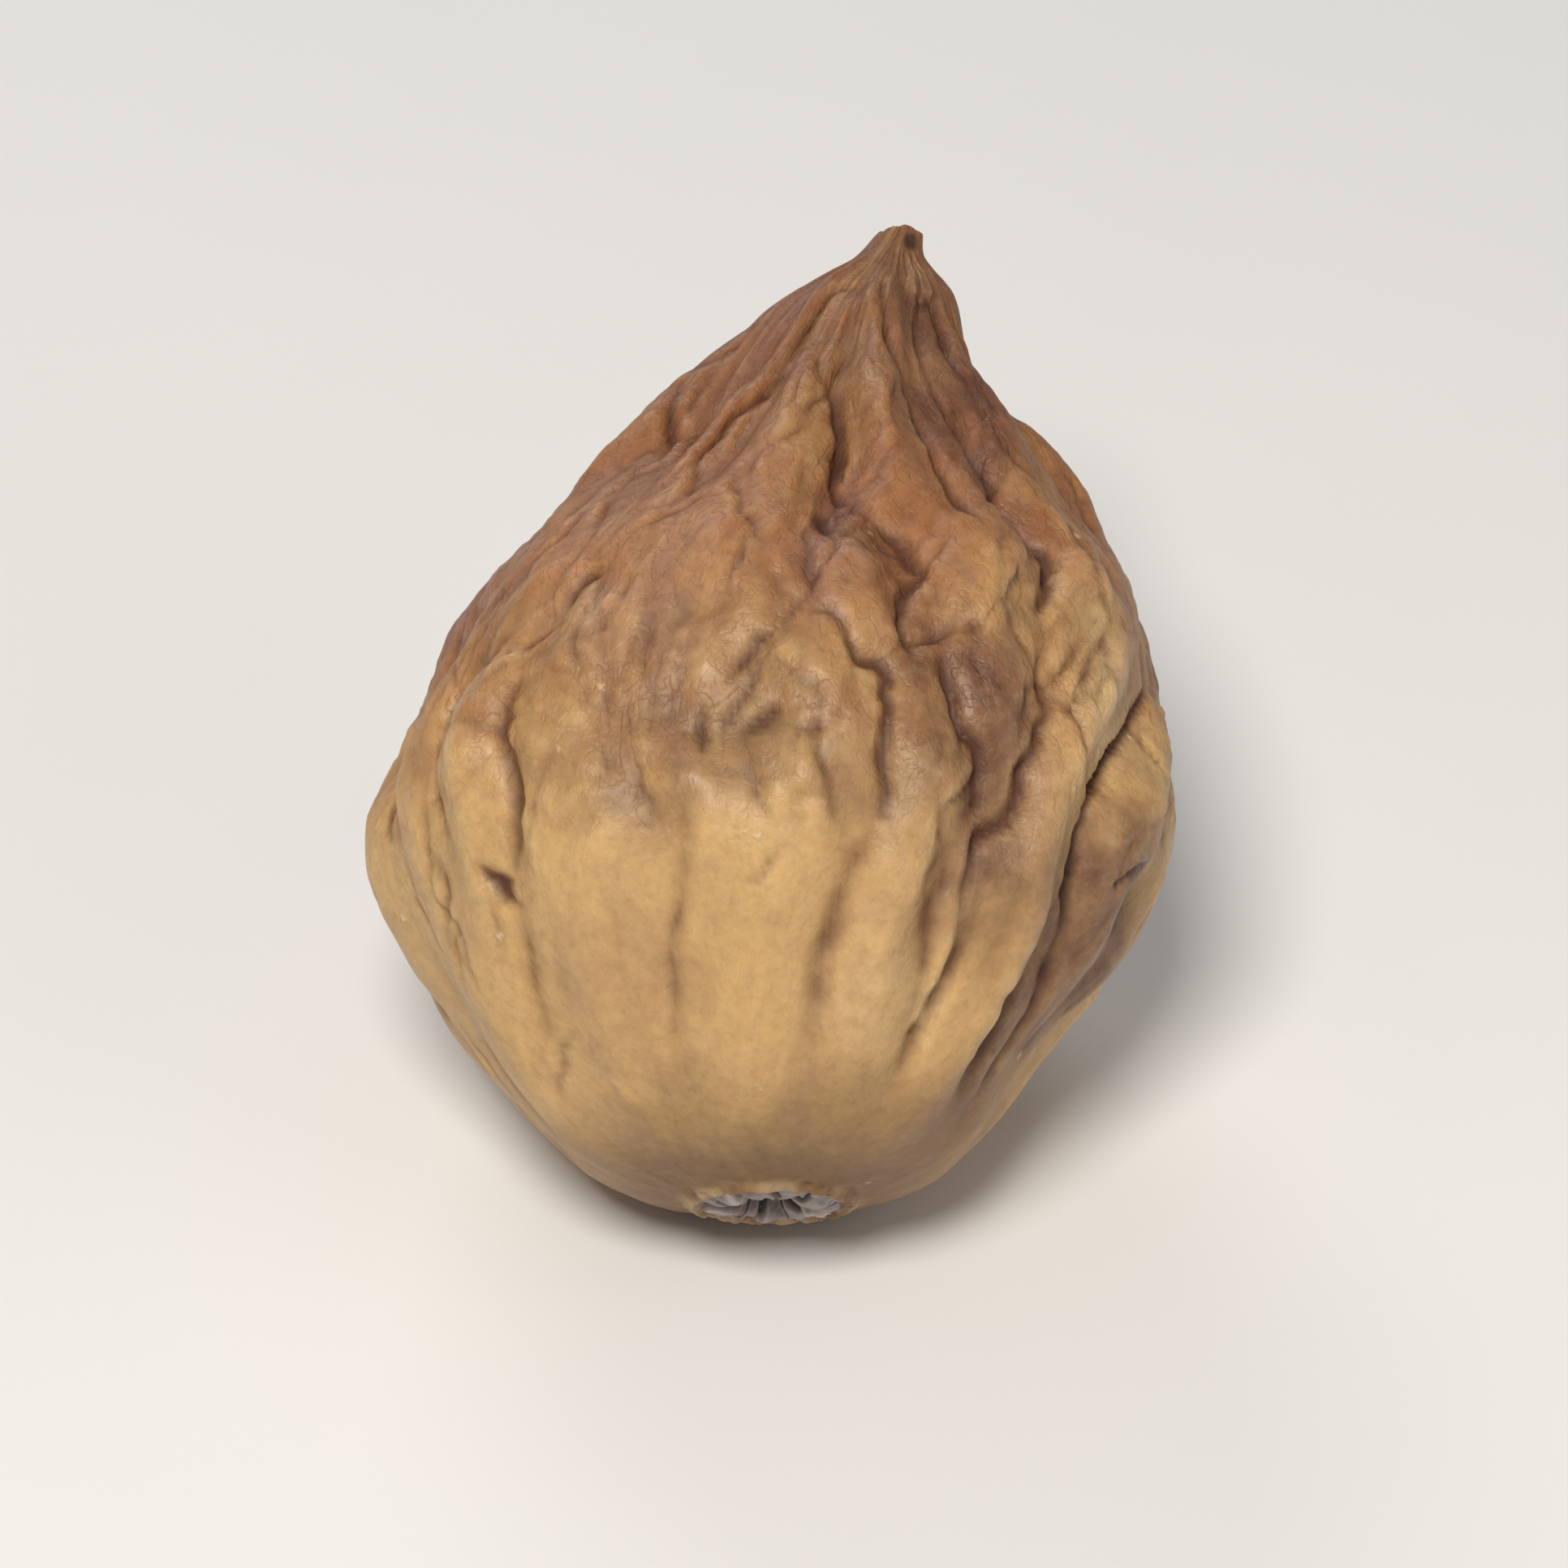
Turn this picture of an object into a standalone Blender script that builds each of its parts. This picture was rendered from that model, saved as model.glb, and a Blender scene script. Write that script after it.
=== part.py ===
# A small pale dried fig, pear-shaped, resting on the back of its belly. The neck and the cut stalk
# point up and back, and the eye, the round scaly opening at the fruit's lower end, faces down and
# forward. Metres, +Z up, and the origin is on the flat spot that the fig rests on, under its weight.
#
# The skin starts as a ball whose rings are carried onto the fig's outline. Gathers, folds, dents and
# the scales of the eye are then raised or sunk along the outline's normal. A place on the skin is
# given by its turn, the angle round the axis from the front towards +X, and by its reach, the
# distance along the skin from the middle of the eye.

import math
import random
from collections import namedtuple

import bmesh
import bpy
import numpy as np
from mathutils import Matrix, Vector, noise

MM = 0.001

# Driving dimensions, in millimetres, with angles in degrees.
BELLY_RADIUS = 12.1
EYE_DROP = 12.1            # the eye's scales, below the widest ring
EYE_RADIUS = 2.4           # crest of the pale ring round the eye
STALK_RISE = 18.45         # the stalk's cut, above the widest ring
STALK_RADIUS = 0.65
NECK_SWAY = 4.0            # how far the stalk stands to the +X side of the belly's middle
SWAY_POWER = 1.7           # how late up the neck the sway sets in
LEAN = 52.0                # the axis, tipped back from upright
BELLY_MIDDLE = (0.0, -0.5, 11.0)
FLAT_EDGE = 0.25           # half the height over which the belly rounds into the flat spot

# Reaches of the fig's regions, where wrinkles of one kind give way to those of the next.
EYE_EDGE = 5.0
BELLY = 9.0
SHOULDER = 25.0
NECK = 34.0
STALK = 38.5
STALK_END = 41.0

GATHER_DEPTH = 0.30
LUMP_DEPTH = 0.38
SCALE_DOME = 0.12
CRACK_DEPTH = 0.55
CRACKS = 9

SEGMENTS = 92
RANDOM_SEED = 11

# Outline from the middle of the eye to the middle of the stalk's cut: height above the widest ring,
# radius, and the number of rings on the way to the next row.
OUTLINE = (
    (-EYE_DROP + 1.3, 0.0, 1),
    (-EYE_DROP + 1.1, 0.14 * EYE_RADIUS, 2),
    (-EYE_DROP + 0.2, 0.30 * EYE_RADIUS, 3),
    (-EYE_DROP, 0.58 * EYE_RADIUS, 3),
    (-EYE_DROP + 0.1, 0.87 * EYE_RADIUS, 2),
    (-EYE_DROP - 0.15, EYE_RADIUS, 2),
    (-EYE_DROP + 0.25, 1.18 * EYE_RADIUS, 2),
    (-0.91 * BELLY_RADIUS, 0.46 * BELLY_RADIUS, 4),
    (-0.67 * BELLY_RADIUS, 0.705 * BELLY_RADIUS, 5),
    (-0.31 * BELLY_RADIUS, 0.93 * BELLY_RADIUS, 5),
    (0.03 * BELLY_RADIUS, BELLY_RADIUS, 6),
    (0.42 * BELLY_RADIUS, 0.89 * BELLY_RADIUS, 6),
    (0.76 * BELLY_RADIUS, 0.64 * BELLY_RADIUS, 6),
    (1.05 * BELLY_RADIUS, 0.42 * BELLY_RADIUS, 6),
    (STALK_RISE - 2.2, 3.5 * STALK_RADIUS, 4),
    (STALK_RISE - 0.9, 1.6 * STALK_RADIUS, 3),
    (STALK_RISE, STALK_RADIUS, 1),
    (STALK_RISE, 0.7 * STALK_RADIUS, 1),
    (STALK_RISE - 0.25, 0.0, 0),
)

# A fold is a groove along a path of (turn, reach) points. A dent, or with a negative depth a
# swelling, has its middle at a turn and a reach.
Fold = namedtuple("Fold", "path width depth")
Dent = namedtuple("Dent", "turn reach half_width half_height depth")

NECK_FOLDS = (
    Fold(((-2, 36.5), (2, 34.0), (6, 31.5), (7, 29.5), (5, 27.0)), 0.60, 1.10),
    Fold(((13, 36.6), (22, 34.2), (28, 31.0), (34, 26.8)), 0.60, 0.70),
    Fold(((30, 37.4), (38, 33.0), (44, 29.5), (50, 26.5), (46, 24.0)), 0.65, 1.00),
    Fold(((44, 37.6), (52, 33.5), (58, 29.0)), 0.60, 0.50),
    Fold(((72, 37.4), (70, 33.0), (74, 28.0)), 0.70, 0.75),
    Fold(((-14, 37.8), (-24, 35.2), (-20, 31.0), (-24, 27.8)), 0.60, 0.55),
    Fold(((-36, 37.2), (-42, 33.6), (-40, 30.0)), 0.60, 0.75),
    Fold(((-56, 36.8), (-50, 33.0), (-54, 29.6)), 0.60, 0.65),
    Fold(((-84, 36.8), (-78, 32.5), (-82, 27.0)), 0.70, 0.70),
)

SHOULDER_FOLDS = (
    Fold(((13, 28.2), (20, 26.4), (21, 23.5), (23, 20.6)), 0.95, 0.75),
    Fold(((24, 23.2), (28, 20.4), (33, 18.2), (31, 16.6)), 0.95, 0.75),
    Fold(((40, 24.0), (44, 21.4), (41, 19.0), (34, 16.4), (32, 13.6)), 0.95, 0.80),
    Fold(((4, 24.0), (12, 22.2), (17, 20.8), (16, 18.8), (17, 16.6)), 0.75, 0.65),
    Fold(((76, 24.0), (63, 20.8), (55, 18.9), (52, 17.0), (60, 13.6)), 0.80, 1.05),
    Fold(((-27, 25.6), (-36, 24.6), (-38, 22.6)), 0.80, 0.50),
    Fold(((-38, 23.8), (-42, 20.4), (-41, 18.0), (-44, 15.2)), 0.80, 0.80),
    Fold(((-44, 24.2), (-54, 22.0), (-59, 19.8), (-56, 17.0)), 0.80, 0.80),
    Fold(((-68, 25.0), (-74, 21.0), (-72, 16.4)), 0.90, 0.70),
    Fold(((-24, 22.6), (-14, 23.8), (-6, 22.4)), 0.75, 0.40),
    Fold(((2, 24.0), (-2, 22.2), (-6, 20.8)), 0.70, 0.40),
    Fold(((2, 20.3), (-6, 19.0), (-12, 20.2)), 0.70, 0.40),
)

BELLY_RIBS = (
    Fold(((-43, 15.6), (-47, 12.4), (-54, 8.0)), 0.95, 0.30),
    Fold(((-13, 17.4), (-15, 14.8), (-19, 11.6), (-23, 7.0)), 0.95, 0.30),
    Fold(((15, 17.0), (11, 14.2), (9, 11.5), (8, 7.0)), 0.90, 0.36),
    Fold(((35, 14.6), (34, 12.0), (30, 7.0)), 0.85, 0.50),
    Fold(((27, 16.9), (26, 14.4), (25, 11.0)), 0.80, 0.42),
    Fold(((55, 13.8), (53, 11.0), (57, 7.0)), 0.85, 0.55),
    Fold(((62, 13.6), (67, 10.6), (69, 7.0)), 0.85, 0.50),
    Fold(((-74, 15.6), (-76, 12.0), (-79, 7.5)), 0.95, 0.40),
)

DENTS = (
    Dent(-9, 19.9, 3.8, 2.3, 0.60),
    Dent(-10, 16.4, 6.0, 1.6, -0.25),
    Dent(-9, 26.8, 2.2, 1.5, -0.35),
    Dent(31, 25.4, 1.5, 3.0, -0.35),
    Dent(58, 25.2, 1.8, 3.0, -0.35),
    Dent(-72, 24.0, 4.5, 3.0, 0.60),
    Dent(-88, 28.6, 3.0, 2.2, 0.45),
    Dent(-88, 22.2, 3.5, 2.4, 0.50),
    Dent(-84, 17.6, 4.5, 3.0, -0.25),
    Dent(84, 31.0, 3.0, 2.5, -0.25),
    Dent(70, 18.2, 2.2, 2.4, -0.35),
    Dent(76, 16.4, 2.4, 1.0, 0.50),
    Dent(92, 11.5, 6.0, 4.0, 0.90),
    Dent(84, 35.6, 1.6, 2.6, 0.50),
    Dent(80, 28.6, 3.0, 3.0, -0.50),
    Dent(-80, 34.5, 2.6, 3.4, -0.30),
)


def smooth_step(low, high, value):
    share = np.clip((value - low) / (high - low), 0.0, 1.0)
    return share * share * (3.0 - 2.0 * share)


def wrapped(angle):
    return (angle + math.pi) % (2.0 * math.pi) - math.pi


def outline_rings():
    """Height and radius of every ring, on one smooth curve through the outline's rows."""
    rows = [np.array(row[:2]) for row in OUTLINE]
    mirrored = np.array((1.0, -1.0))
    rows = [rows[1] * mirrored] + rows + [rows[-2] * mirrored]
    rings = []
    for index, outline_row in enumerate(OUTLINE[:-1]):
        before, start, end, after = rows[index:index + 4]
        span = np.linalg.norm(end - start)
        leave = span * (end - before) / np.linalg.norm(end - before)
        arrive = span * (after - start) / np.linalg.norm(after - start)
        count = outline_row[2]
        for step in range(count):
            share = step / count
            rings.append((2 * share**3 - 3 * share**2 + 1) * start
                         + (share**3 - 2 * share**2 + share) * leave
                         + (3 * share**2 - 2 * share**3) * end
                         + (share**3 - share**2) * arrive)
    rings.append(rows[-2])
    return np.array(rings)


def back_folds(draw):
    """Neck folds and belly ribs of the same kinds, all over the side away from the front."""
    folds = []
    for start in range(98, 262, 18):
        turn = start + draw.uniform(-5, 5)
        drift = draw.uniform(-9, 9)
        top = draw.uniform(36.0, 37.8)
        foot = draw.uniform(25.5, 30.0)
        path = ((turn, top), (turn + 0.7 * drift, 0.5 * (top + foot)), (turn + drift, foot))
        folds.append(Fold(path, draw.uniform(0.60, 0.80), draw.uniform(0.60, 1.00)))
    for start in range(86, 280, 19):
        turn = start + draw.uniform(-5, 5)
        drift = draw.uniform(-8, 8)
        top = draw.uniform(18.0, 26.0)
        path = ((turn, top), (turn + drift, 0.6 * top), (turn + 0.5 * drift, 7.0))
        folds.append(Fold(path, draw.uniform(0.80, 1.00), draw.uniform(0.45, 0.85)))
    return folds


def back_dents(draw):
    dents = []
    for start in range(100, 260, 32):
        dents.append(Dent(start + draw.uniform(-10, 10), draw.uniform(18.0, 27.0),
                          draw.uniform(2.5, 4.0), draw.uniform(2.5, 4.0), draw.uniform(0.3, 0.8)))
    return dents


def fold_relief(fold, turn, reach, radius):
    """A groove with a low lip on each side, shallower towards the ends of its path."""
    nearest = np.full(turn.shape, np.inf)
    place = np.zeros(turn.shape)
    spans = len(fold.path) - 1
    for index in range(spans):
        start_turn, start_reach = fold.path[index]
        end_turn, end_reach = fold.path[index + 1]
        across = wrapped(math.radians(start_turn) - turn) * radius
        along = start_reach - reach
        run_across = math.radians(end_turn - start_turn) * radius
        run_along = end_reach - start_reach
        length = run_across**2 + run_along**2
        share = np.clip(-(across * run_across + along * run_along) / length, 0.0, 1.0)
        distance = np.hypot(across + share * run_across, along + share * run_along)
        closer = distance < nearest
        nearest = np.where(closer, distance, nearest)
        place = np.where(closer, (index + share) / spans, place)
    taper = np.sin(math.pi * np.clip(place, 0.04, 0.96)) ** 0.6
    spread = nearest / fold.width
    groove = -np.exp(-spread**1.4) + 0.30 * np.exp(-(spread - 2.2)**2)
    return fold.depth * taper * groove


def dent_relief(dent, turn, reach, radius):
    across = wrapped(math.radians(dent.turn) - turn) * radius / dent.half_width
    along = (dent.reach - reach) / dent.half_height
    return -dent.depth * np.exp(-across**2 - along**2)


def noise_at(places, scale):
    return np.array([noise.noise(Vector(place) * scale) for place in places])


def gather_relief(turn, reach, places):
    """Sharp-valleyed ridges that run up the neck to the stalk, uneven from one to the next."""
    swing = noise_at(places, 0.22)
    fine = np.abs(np.sin(5.5 * turn + 1.6 * swing + 0.4)) ** 0.7
    coarse = np.abs(np.sin(3.0 * turn - 1.1 * swing + 1.3)) ** 0.7
    here = smooth_step(SHOULDER, NECK, reach) * (1.0 - smooth_step(STALK, STALK_END, reach))
    return GATHER_DEPTH * here * (fine + 0.7 * coarse - 1.1)


def lump_relief(reach, places):
    here = smooth_step(EYE_EDGE, BELLY, reach) * (1.0 - smooth_step(NECK, STALK, reach))
    return LUMP_DEPTH * here * noise_at(places + (15.0, 0.0, 37.0), 0.21)


def eye_relief(turn, reach, radius, draw):
    """The eye's scales, each a little domed, with a star of cracks between them."""
    on_scales = 1.0 - smooth_step(0.82 * EYE_RADIUS, 0.92 * EYE_RADIUS, radius)
    on_scales = np.where(reach < EYE_EDGE, on_scales, 0.0)
    relief = SCALE_DOME * on_scales
    for crack in range(CRACKS):
        middle = 2.0 * math.pi * (crack + draw.uniform(-0.28, 0.28)) / CRACKS
        end = EYE_RADIUS * draw.uniform(0.55, 0.92)
        half_width = 0.07 + 0.22 * np.clip(1.0 - radius / end, 0.0, 1.0)
        across = wrapped(turn - middle) * radius / half_width
        open_part = smooth_step(0.3, 0.9, radius) * (1.0 - smooth_step(0.85 * end, 1.05 * end, radius))
        relief -= CRACK_DEPTH * on_scales * open_part * np.exp(-across**2)
    return relief


def flattened(low):
    """Heights with all below the table pressed up level with it, and a round edge in between."""
    rounded = (low + FLAT_EDGE)**2 / (4.0 * FLAT_EDGE)
    return np.where(low < -FLAT_EDGE, 0.0, np.where(low > FLAT_EDGE, low, rounded))


def skin_mesh():
    rings = outline_rings()
    last = len(rings) - 1
    bm = bmesh.new()
    bmesh.ops.create_uvsphere(bm, u_segments=SEGMENTS, v_segments=last, radius=1.0)
    ball = np.array([vert.co for vert in bm.verts])
    ring = np.rint((1.0 - np.arccos(np.clip(ball[:, 2], -1.0, 1.0)) / math.pi) * last).astype(int)
    turn = np.arctan2(ball[:, 0], -ball[:, 1])

    steps = np.linalg.norm(np.diff(rings, axis=0), axis=1)
    along = np.gradient(rings, axis=0)
    along /= np.linalg.norm(along, axis=1)[:, None]
    reach = np.concatenate(([0.0], np.cumsum(steps)))[ring]
    height = rings[ring, 0]
    radius = rings[ring, 1]
    sway = NECK_SWAY * np.clip(height / STALK_RISE, 0.0, 1.0) ** SWAY_POWER
    tip_back = np.array(Matrix.Rotation(math.radians(-LEAN), 3, "X"))

    def placed(relief):
        out = radius + relief * along[ring, 0]
        rise = height - relief * along[ring, 1]
        upright = np.column_stack((sway + out * np.sin(turn), -out * np.cos(turn), rise))
        return upright @ tip_back.T + BELLY_MIDDLE

    draw = random.Random(RANDOM_SEED)
    smooth = placed(np.zeros(len(ball)))
    relief = gather_relief(turn, reach, smooth) + lump_relief(reach, smooth)
    for fold in NECK_FOLDS + SHOULDER_FOLDS + BELLY_RIBS + tuple(back_folds(draw)):
        relief += fold_relief(fold, turn, reach, radius)
    for dent in DENTS + tuple(back_dents(draw)):
        relief += dent_relief(dent, turn, reach, radius)
    # The fruit's weight presses the ribs smooth round the flat spot, and the stalk's cut is plain.
    relief *= smooth_step(2.5, 7.0, np.linalg.norm(smooth, axis=1)) * smooth_step(0.2, 1.5, radius)
    relief += eye_relief(turn, reach, radius, draw)

    shaped = placed(relief)
    shaped[:, 2] = flattened(shaped[:, 2])
    for vert, place in zip(bm.verts, shaped):
        vert.co = Vector(place) * MM
    return bm


def skin_material():
    material = bpy.data.materials.new("dried_skin")
    material.use_nodes = True
    shader = material.node_tree.nodes["Principled BSDF"]
    shader.inputs["Base Color"].default_value = (0.50, 0.30, 0.13, 1.0)
    shader.inputs["Roughness"].default_value = 0.52
    shader.inputs["Metallic"].default_value = 0.0
    return material


def main():
    for item in list(bpy.data.objects):
        bpy.data.objects.remove(item, do_unlink=True)
    bm = skin_mesh()
    mesh = bpy.data.meshes.new("fig")
    bm.to_mesh(mesh)
    bm.free()
    mesh.materials.append(skin_material())
    mesh.shade_smooth()
    fig = bpy.data.objects.new("fig", mesh)
    bpy.context.scene.collection.objects.link(fig)


main()
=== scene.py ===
# A small pale dried fig on a plain pale table. It lies on the back of its belly, with its stalk up
# and back and its scaly eye down and forward, towards the camera.
#
# A place on the skin is given as on a globe: turn is the angle round the fruit's axis from the front
# towards +X, and lift is the angle up from its widest ring, so the stalk is at 90 and the eye at -90.
# Lengths in the dictionaries are millimetres, and angles are degrees.

import math
import random

import bpy
import numpy as np
from mathutils import Matrix, Vector, kdtree, noise


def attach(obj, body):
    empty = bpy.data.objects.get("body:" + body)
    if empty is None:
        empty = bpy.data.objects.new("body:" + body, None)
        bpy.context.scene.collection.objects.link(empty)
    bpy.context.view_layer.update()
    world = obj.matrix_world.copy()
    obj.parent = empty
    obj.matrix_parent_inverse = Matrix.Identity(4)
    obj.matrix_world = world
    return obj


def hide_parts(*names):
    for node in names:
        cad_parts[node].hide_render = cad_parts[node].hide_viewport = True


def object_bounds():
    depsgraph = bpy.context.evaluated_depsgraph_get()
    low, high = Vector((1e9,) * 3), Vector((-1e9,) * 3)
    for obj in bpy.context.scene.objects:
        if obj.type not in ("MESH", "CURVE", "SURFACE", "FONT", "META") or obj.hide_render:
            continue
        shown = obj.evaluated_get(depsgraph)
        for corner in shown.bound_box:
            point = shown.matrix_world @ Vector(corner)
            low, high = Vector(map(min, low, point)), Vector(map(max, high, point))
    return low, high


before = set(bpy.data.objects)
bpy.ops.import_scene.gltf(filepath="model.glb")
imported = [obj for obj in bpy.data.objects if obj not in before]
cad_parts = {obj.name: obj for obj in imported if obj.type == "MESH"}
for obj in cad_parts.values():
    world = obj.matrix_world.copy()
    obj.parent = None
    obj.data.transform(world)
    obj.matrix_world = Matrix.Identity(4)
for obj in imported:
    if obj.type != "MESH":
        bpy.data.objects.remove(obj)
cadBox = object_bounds()
mm = 0.001


# The fruit's axis

fruit = {
    "middle": (0.0, -0.5, 11.0),      # middle of the widest ring
    "lean": 52,                       # axis tipped back from upright
    "rise": 18.45,                    # from the widest ring up to the stalk's cut
    "sway": 4.0,                      # how far the stalk stands to the right
    "swayPower": 1.7,
    "eyeRadius": 2.4,                 # crest of the ring round the eye
    "eyeTop": -8,                     # the eye lies below this height
    "stubRise": 17.55,                # where the bare stalk starts
    "stubRadius": 0.65,
}


def deselectAll():
    for thing in bpy.context.selected_objects:
        thing.select_set(False)


def makeActive(thing):
    deselectAll()
    thing.select_set(True)
    bpy.context.view_layer.objects.active = thing


def readPoints(mesh, what="co"):
    flat = np.empty(len(mesh.vertices) * 3, np.float32)
    mesh.vertices.foreach_get(what, flat)
    return flat.reshape(-1, 3).astype(float)


def writePoints(mesh, points):
    mesh.vertices.foreach_set("co", points.astype(np.float32).ravel())
    mesh.update()


def smoothStep(low, high, value):
    share = np.clip((value - low) / (high - low), 0, 1)
    return share * share * (3 - 2 * share)


def atLeast(lowest, share):
    # A share from 0 to 1, brought into the range from the lowest to 1
    return lowest + (1 - lowest) * share


def tipBack():
    return np.array(Matrix.Rotation(math.radians(-fruit["lean"]), 3, "X"))


def toFruit(points):
    # Points in metres, as millimetres in the fruit's own upright frame, with the neck's sway taken out
    upright = (points / mm - fruit["middle"]) @ tipBack()
    share = np.clip(upright[:, 2] / fruit["rise"], 0, 1)
    upright[:, 0] -= fruit["sway"] * share ** fruit["swayPower"]
    return upright


def globePlace(turn, lift):
    turn, lift = np.radians(turn), np.radians(lift)
    return np.stack((np.sin(turn) * np.cos(lift), -np.cos(turn) * np.cos(lift), np.sin(lift)), -1)


# The skin: a fine copy of the frame's fruit, with its creases and wrinkles pressed in

skin = {
    "smoothing": 2,                   # subdivisions of the frame's mesh
    "mergeWithin": 0.001,
    "quadAngle": 70,                  # triangles that bend less than this are joined in pairs
    "sharpen": 0.14,                  # how much tighter the frame's folds are drawn
    "sharpenPasses": 14,              # smoothing that tells a fold from the shape below it
    "gathers": (0.20, 0.35, 0.12),    # ridges to the stalk: depth, mean level, share on the belly
    "crumples": (0.27, 0.60, 0.16),   # the same for the lumps between the folds
    "grain": (0.05, 0.30, 0.40),
    "net": (0.030, 0.10),             # net of fine wrinkles: depth, share on the belly
    "slideLimit": 0.12,               # how far a crease may draw the mesh in
    "offEye": (1.12, 1.7),            # where the wrinkles set in, in radii of the eye's ring
    "offFlat": (0.1, 1.2),            # and above the table
    "offStub": (-0.5, 0.2),           # and where they end, from where the bare stalk starts
    "neckLift": (15, 60),             # where the neck's gathers set in
    "topLift": (-26, 22),             # where the smooth belly ends
    "swing": 0.16,                    # how far ridges swing round the fruit, in radians
    "warp": 6.0,                      # how finely the net is bent
    "netFine": (8, 8, 4),             # round the fruit and up it
    "ribsFine": (12, 12, 6),
    "netEdge": (0.02, 0.30),
    "netPatches": (-0.15, 0.30),
    "seed": 7,
}

# Creases seen from the front: width, depth, how dark its bottom is, and the places it runs through.
# A negative depth is a raised ridge.
creases = {
    "neck middle": (0.15, 0.26, 1.0, [(0, 67), (5, 58), (7, 48), (7, 38)]),
    "neck middle pit": (0.24, 0.28, 1.0, [(6, 37), (5, 32)]),
    "neck right": (0.17, 0.24, 0.5, [(21, 67), (25, 60), (29, 52), (32, 43), (34, 35)]),
    "neck far right": (0.20, 0.44, 1.0, [(38, 62), (41, 54), (44, 47), (47, 39), (50, 32), (45, 21)]),
    "neck left": (0.18, 0.28, 0.7, [(-41, 67), (-42, 63), (-39, 56)]),
    "neck far left": (0.18, 0.26, 0.7, [(-61, 66), (-49, 59), (-46, 53)]),
    "neck left long": (0.16, 0.20, 0.5, [(-20, 72), (-27, 62), (-25, 52)]),
    "under the stalk right": (0.16, 0.25, 0.7, [(30, 80), (44, 78), (45, 71)]),
    "under the stalk middle": (0.16, 0.24, 0.6, [(4, 80), (13, 74), (23, 67)]),
    "under the stalk left": (0.16, 0.22, 0.5, [(-13, 81), (-26, 78), (-25, 70)]),
    "shoulder middle": (0.19, 0.30, 0.7, [(15, 37), (20, 32), (22, 27), (20, 21), (20, 14), (22, 6)]),
    "shoulder right": (0.18, 0.30, 0.7, [(25, 13), (27, 6), (29, 1), (33, -6), (31, -11)]),
    "side right": (0.19, 0.32, 0.8, [(41, 15), (44, 8), (43, 2), (40, -4), (37, -12), (33, -17),
                                     (32, -27)]),
    "hook": (0.17, 0.28, 0.7, [(5, 18), (10, 14), (13, 10), (17, 7), (17, 2), (16, -5), (17, -13)]),
    "far side right": (0.19, 0.42, 1.0, [(73, 15), (63, 5), (56, -3), (53, -8), (53, -14), (56, -20),
                                         (60, -27)]),
    "far side branch": (0.17, 0.22, 0.7, [(73, -11), (67, -14), (63, -18)]),
    "dent edge": (0.18, 0.20, 0.6, [(-1, 14), (-3, 11), (-6, 7)]),
    "dent floor": (0.17, 0.16, 0.5, [(1, 2), (-4, -2)]),
    "dent line": (0.15, 0.14, 0.5, [(-10, 3), (-10, -5)]),
    "side left": (0.20, 0.30, 0.60, [(-47, 17), (-52, 12), (-56, 9), (-58, 3), (-58, -4), (-56, -11)]),
    "shoulder left": (0.22, 0.26, 0.50, [(-40, 12), (-41, 6), (-42, 1), (-41, -6), (-41, -11),
                                         (-43, -19)]),
    "shoulder left top": (0.18, 0.20, 0.5, [(-31, 27), (-35, 25), (-36, 20)]),
    "shoulder left branch": (0.16, 0.16, 0.4, [(-31, 17), (-30, 9)]),
    "lip left": (0.26, 0.06, 0.08, [(-38, -9), (-34, -12), (-27, -13), (-20, -11)]),
    "lip middle": (0.26, 0.04, 0.04, [(-7, -10), (-3, -11), (4, -10)]),
    "lip rib one": (0.50, -0.20, 0.0, [(-27, 0), (-26, -9), (-27, -20)]),
    "lip rib two": (0.45, -0.22, 0.0, [(-13, -2), (-11, -9), (-9, -19)]),
    "lip rib three": (0.40, -0.18, 0.0, [(3, -3), (5, -9), (8, -17)]),
    "lip fold one": (0.26, 0.16, 0.12, [(-19, -4), (-18, -10), (-19, -17)]),
    "lip fold two": (0.24, 0.16, 0.12, [(-4, -5), (-2, -11), (-1, -16)]),
    "blemish": (0.24, 0.26, 1.0, [(-49, -17), (-47, -20), (-45, -23)]),
    "rib left": (0.28, 0.16, 0.24, [(-43, -21), (-47, -33), (-52, -44)]),
    "rib middle": (0.25, 0.13, 0.17, [(-13, -12), (-14, -23), (-19, -38), (-22, -56)]),
    "rib right": (0.26, 0.17, 0.17, [(15, -14), (11, -25), (9, -36), (8, -51)]),
    "rib far right": (0.24, 0.20, 0.35, [(28, -17), (28, -27), (29, -36), (28, -46)]),
    "low right one": (0.24, 0.26, 0.55, [(35, -26), (34, -37), (31, -54)]),
    "low right two": (0.24, 0.26, 0.55, [(54, -31), (53, -41), (56, -54)]),
    "low right three": (0.22, 0.26, 0.55, [(60, -28), (64, -39), (66, -53)]),
    "rib crest one": (0.65, -0.26, 0.0, [(22, -12), (20, -27), (18, -44)]),
    "rib crest two": (0.45, -0.30, 0.0, [(32, -18), (32, -30), (32, -46)]),
    "rib crest three": (0.55, -0.36, 0.0, [(46, -20), (47, -34), (46, -50)]),
    "rib crest left": (0.60, -0.14, 0.0, [(-31, -20), (-34, -34), (-38, -48)]),
    "ridge middle": (0.50, -0.20, 0.0, [(29, 38), (37, 29), (33, 18)]),
    "ridge right": (0.50, -0.20, 0.0, [(54, 34), (57, 27), (61, 21)]),
    "lip ridge": (0.30, -0.12, 0.0, [(-1, -13), (2, -11), (6, -8)]),
    "dent foot": (0.80, -0.17, 0.0, [(-24, -6), (-8, -7), (6, -5)]),
    "lip ridge left": (0.30, -0.12, 0.0, [(-39, -8), (-38, -14), (-35, -21)]),
}

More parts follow.
